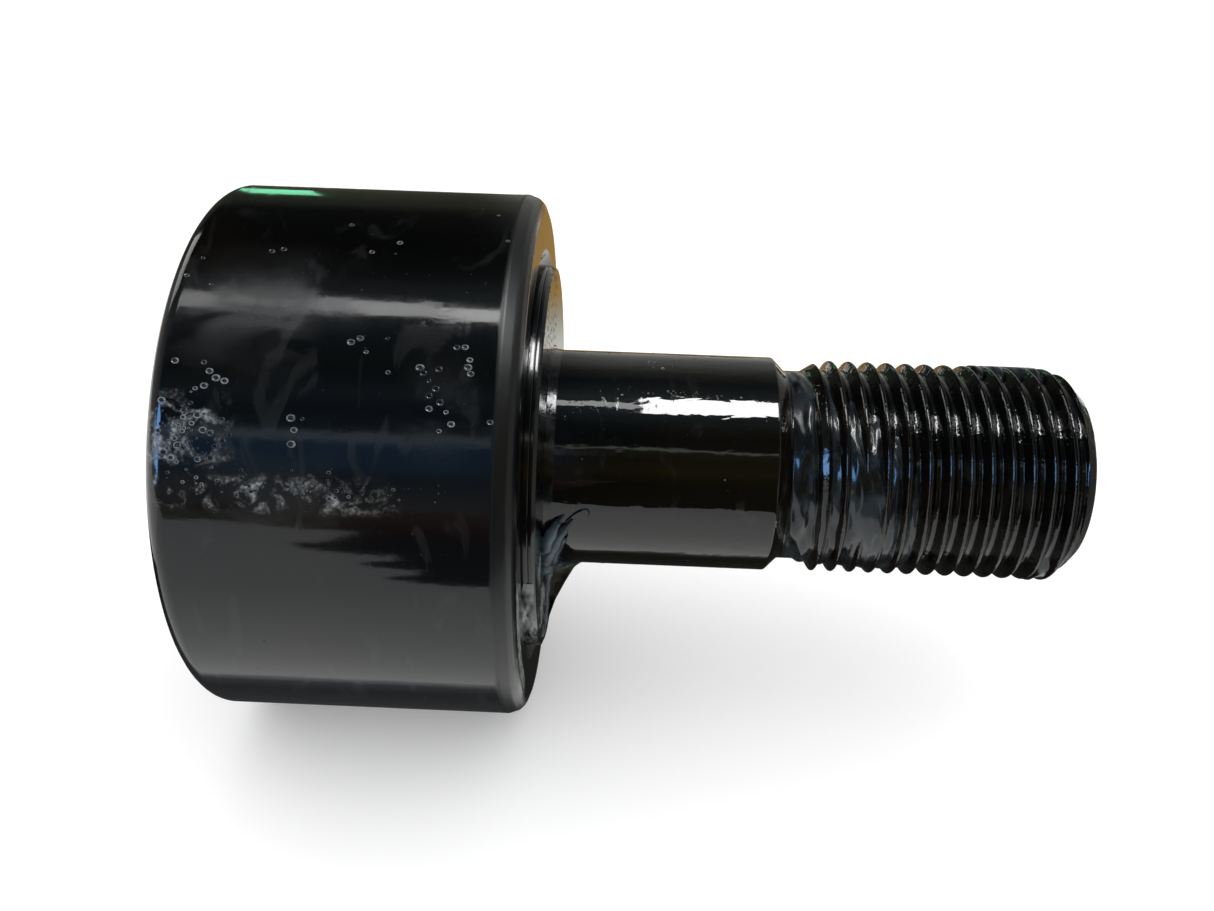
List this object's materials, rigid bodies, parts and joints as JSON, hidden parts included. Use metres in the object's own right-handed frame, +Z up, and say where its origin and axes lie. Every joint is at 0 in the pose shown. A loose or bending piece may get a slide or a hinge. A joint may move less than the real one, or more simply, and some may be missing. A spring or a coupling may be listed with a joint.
{
  "type": "stud-type cam follower",
  "caption": "Cam follower: a thick-walled roller turning on caged needles around the flanged head of a threaded mounting stud.",
  "frame": {"origin": "centre of the mounting face, on the stud's axis, where the shank leaves the end plate", "axes": "+X along the stud's axis from the roller towards the threaded tip, +Z up and +Y across, any direction around the axis"},
  "size_m": [0.0619, 0.038, 0.0381],
  "materials": {
    "black_oxide_stud": "black oxide, oiled, glossy",
    "black_oxide_plate": "black oxide, oiled, glossy",
    "black_oxide_ring": "black oxide, ground and oiled, glossy",
    "cage_steel": "pressed steel, satin",
    "needle_steel": "ground bearing steel",
    "seal_rubber": "moulded nitrile rubber",
    "thrust_polymer": "turned acetal",
    "plug_steel": "bright steel"
  },
  "bodies": {
    "stud": {"stud": "black_oxide_stud", "end_plate": "black_oxide_plate", "plug_head": "plug_steel", "plug_tip": "plug_steel", "plug_shank": "plug_steel"},
    "roller": {"outer_ring": "black_oxide_ring", "seal_plate_side": "seal_rubber", "seal_head_side": "seal_rubber", "thrust_disc_plate_side": "thrust_polymer", "thrust_disc_head_side": "thrust_polymer"},
    "cage": {"needle_cage": "cage_steel"},
    "needle_01": {"needle_01": "needle_steel"},
    "needle_02": {"needle_02": "needle_steel"},
    "needle_03": {"needle_03": "needle_steel"},
    "needle_04": {"needle_04": "needle_steel"},
    "needle_05": {"needle_05": "needle_steel"},
    "needle_06": {"needle_06": "needle_steel"},
    "needle_07": {"needle_07": "needle_steel"},
    "needle_08": {"needle_08": "needle_steel"},
    "needle_09": {"needle_09": "needle_steel"},
    "needle_10": {"needle_10": "needle_steel"},
    "needle_11": {"needle_11": "needle_steel"},
    "needle_12": {"needle_12": "needle_steel"},
    "needle_13": {"needle_13": "needle_steel"},
    "needle_14": {"needle_14": "needle_steel"},
    "needle_15": {"needle_15": "needle_steel"},
    "needle_16": {"needle_16": "needle_steel"}
  },
  "joints": [
    {"name": "roller_spin", "type": "hinge", "parent": "stud", "child": "roller", "pos_m": [-0.01191, 0, 0], "axis": [1, 0, 0], "continuous": true},
    {"name": "cage_orbit", "type": "hinge", "parent": "stud", "child": "cage", "pos_m": [-0.01191, 0, 0], "axis": [1, 0, 0], "continuous": true},
    {"name": "needle_01_spin", "type": "hinge", "parent": "cage", "child": "needle_01", "pos_m": [-0.01191, -0.00211, 0.01062], "axis": [1, 0, 0], "continuous": true},
    {"name": "needle_02_spin", "type": "hinge", "parent": "cage", "child": "needle_02", "pos_m": [-0.01191, -0.00602, 0.009], "axis": [1, 0, 0], "continuous": true},
    {"name": "needle_03_spin", "type": "hinge", "parent": "cage", "child": "needle_03", "pos_m": [-0.01191, -0.009, 0.00602], "axis": [1, 0, 0], "continuous": true},
    {"name": "needle_04_spin", "type": "hinge", "parent": "cage", "child": "needle_04", "pos_m": [-0.01191, -0.01062, 0.00211], "axis": [1, 0, 0], "continuous": true},
    {"name": "needle_05_spin", "type": "hinge", "parent": "cage", "child": "needle_05", "pos_m": [-0.01191, -0.01062, -0.00211], "axis": [1, 0, 0], "continuous": true},
    {"name": "needle_06_spin", "type": "hinge", "parent": "cage", "child": "needle_06", "pos_m": [-0.01191, -0.009, -0.00602], "axis": [1, 0, 0], "continuous": true},
    {"name": "needle_07_spin", "type": "hinge", "parent": "cage", "child": "needle_07", "pos_m": [-0.01191, -0.00602, -0.009], "axis": [1, 0, 0], "continuous": true},
    {"name": "needle_08_spin", "type": "hinge", "parent": "cage", "child": "needle_08", "pos_m": [-0.01191, -0.00211, -0.01062], "axis": [1, 0, 0], "continuous": true},
    {"name": "needle_09_spin", "type": "hinge", "parent": "cage", "child": "needle_09", "pos_m": [-0.01191, 0.00211, -0.01062], "axis": [1, 0, 0], "continuous": true},
    {"name": "needle_10_spin", "type": "hinge", "parent": "cage", "child": "needle_10", "pos_m": [-0.01191, 0.00602, -0.009], "axis": [1, 0, 0], "continuous": true},
    {"name": "needle_11_spin", "type": "hinge", "parent": "cage", "child": "needle_11", "pos_m": [-0.01191, 0.009, -0.00602], "axis": [1, 0, 0], "continuous": true},
    {"name": "needle_12_spin", "type": "hinge", "parent": "cage", "child": "needle_12", "pos_m": [-0.01191, 0.01062, -0.00211], "axis": [1, 0, 0], "continuous": true},
    {"name": "needle_13_spin", "type": "hinge", "parent": "cage", "child": "needle_13", "pos_m": [-0.01191, 0.01062, 0.00211], "axis": [1, 0, 0], "continuous": true},
    {"name": "needle_14_spin", "type": "hinge", "parent": "cage", "child": "needle_14", "pos_m": [-0.01191, 0.009, 0.00602], "axis": [1, 0, 0], "continuous": true},
    {"name": "needle_15_spin", "type": "hinge", "parent": "cage", "child": "needle_15", "pos_m": [-0.01191, 0.00602, 0.009], "axis": [1, 0, 0], "continuous": true},
    {"name": "needle_16_spin", "type": "hinge", "parent": "cage", "child": "needle_16", "pos_m": [-0.01191, 0.00211, 0.01062], "axis": [1, 0, 0], "continuous": true}
  ],
  "couplings": [
    {"joint": "cage_orbit", "follows": "roller_spin", "ratio": 0.57064},
    {"joint": "needle_01_spin", "follows": "roller_spin", "ratio": 3.5379},
    {"joint": "needle_02_spin", "follows": "roller_spin", "ratio": 3.5379},
    {"joint": "needle_03_spin", "follows": "roller_spin", "ratio": 3.5379},
    {"joint": "needle_04_spin", "follows": "roller_spin", "ratio": 3.5379},
    {"joint": "needle_05_spin", "follows": "roller_spin", "ratio": 3.5379},
    {"joint": "needle_06_spin", "follows": "roller_spin", "ratio": 3.5379},
    {"joint": "needle_07_spin", "follows": "roller_spin", "ratio": 3.5379},
    {"joint": "needle_08_spin", "follows": "roller_spin", "ratio": 3.5379},
    {"joint": "needle_09_spin", "follows": "roller_spin", "ratio": 3.5379},
    {"joint": "needle_10_spin", "follows": "roller_spin", "ratio": 3.5379},
    {"joint": "needle_11_spin", "follows": "roller_spin", "ratio": 3.5379},
    {"joint": "needle_12_spin", "follows": "roller_spin", "ratio": 3.5379},
    {"joint": "needle_13_spin", "follows": "roller_spin", "ratio": 3.5379},
    {"joint": "needle_14_spin", "follows": "roller_spin", "ratio": 3.5379},
    {"joint": "needle_15_spin", "follows": "roller_spin", "ratio": 3.5379},
    {"joint": "needle_16_spin", "follows": "roller_spin", "ratio": 3.5379}
  ]
}
